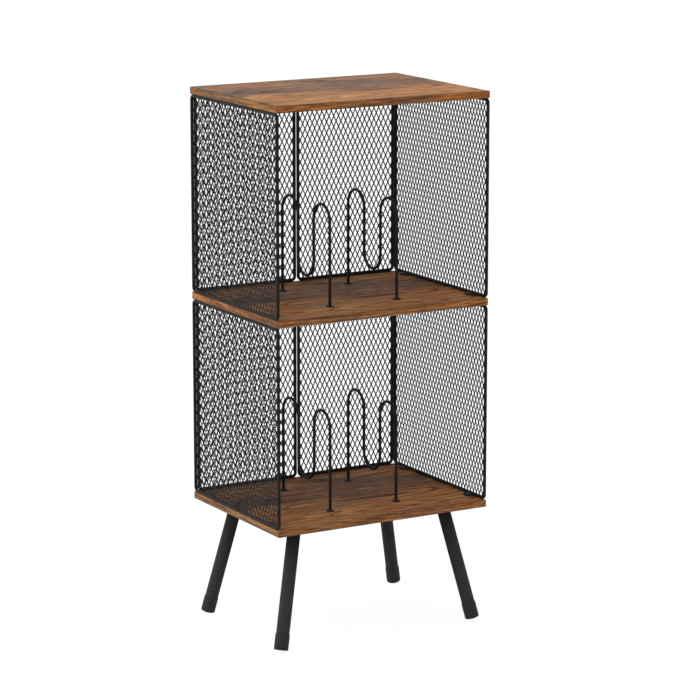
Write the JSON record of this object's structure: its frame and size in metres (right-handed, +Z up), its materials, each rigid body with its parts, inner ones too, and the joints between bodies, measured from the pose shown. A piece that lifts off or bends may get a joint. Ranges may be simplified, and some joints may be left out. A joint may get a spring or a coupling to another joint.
{
  "type": "record storage stand",
  "caption": "Free-standing stand with wood boards, black wire-mesh sides and back, bent wire dividers for records and splayed round legs; a player rests on top.",
  "frame": {"origin": "on the floor, under the middle of the boards", "axes": "+X to the right seen from the open front, +Y to the back, +Z up"},
  "size_m": [0.4016, 0.3, 0.906],
  "materials": {
    "wood_laminate": "rustic brown wood-grain laminate, semi-gloss, grain along the width",
    "black_powder_coat": "satin black powder coat on steel wire, tube and plate",
    "black_mesh": "satin black powder coat on pressed diamond mesh",
    "black_zinc": "black zinc-plated screws, nuts and washers",
    "black_plastic": "matt black moulded plastic foot caps"
  },
  "bodies": {
    "root": {"top_board": "wood_laminate", "middle_board": "wood_laminate", "bottom_board": "wood_laminate", "lower_left_frame": "black_powder_coat", "lower_left_mesh": "black_mesh", "lower_left_tabs": "black_powder_coat", "lower_back_left_frame": "black_powder_coat", "lower_back_left_mesh": "black_mesh", "lower_back_left_pins": "black_powder_coat", "lower_left_divider": "black_powder_coat", "lower_right_frame": "black_powder_coat", "lower_right_mesh": "black_mesh", "lower_right_tabs": "black_powder_coat", "lower_back_right_frame": "black_powder_coat", "lower_back_right_mesh": "black_mesh", "lower_back_right_pins": "black_powder_coat", "lower_right_divider": "black_powder_coat", "lower_divider_flanges": "black_powder_coat", "lower_divider_washers": "black_zinc", "lower_divider_nuts": "black_zinc", "upper_left_frame": "black_powder_coat", "upper_left_mesh": "black_mesh", "upper_left_tabs": "black_powder_coat", "upper_back_left_frame": "black_powder_coat", "upper_back_left_mesh": "black_mesh", "upper_back_left_pins": "black_powder_coat", "upper_left_divider": "black_powder_coat", "upper_right_frame": "black_powder_coat", "upper_right_mesh": "black_mesh", "upper_right_tabs": "black_powder_coat", "upper_back_right_frame": "black_powder_coat", "upper_back_right_mesh": "black_mesh", "upper_back_right_pins": "black_powder_coat", "upper_right_divider": "black_powder_coat", "upper_divider_flanges": "black_powder_coat", "upper_divider_washers": "black_zinc", "upper_divider_nuts": "black_zinc", "top_tab_screws": "black_zinc", "middle_tab_bolts": "black_zinc", "middle_tab_nuts": "black_zinc", "bottom_tab_screws": "black_zinc", "front_left_leg_plate": "black_powder_coat", "front_left_leg_tube": "black_powder_coat", "front_left_leg_cap": "black_plastic", "front_right_leg_plate": "black_powder_coat", "front_right_leg_tube": "black_powder_coat", "front_right_leg_cap": "black_plastic", "back_left_leg_plate": "black_powder_coat", "back_left_leg_tube": "black_powder_coat", "back_left_leg_cap": "black_plastic", "back_right_leg_plate": "black_powder_coat", "back_right_leg_tube": "black_powder_coat", "back_right_leg_cap": "black_plastic", "leg_screws": "black_zinc"}
  },
  "joints": []
}
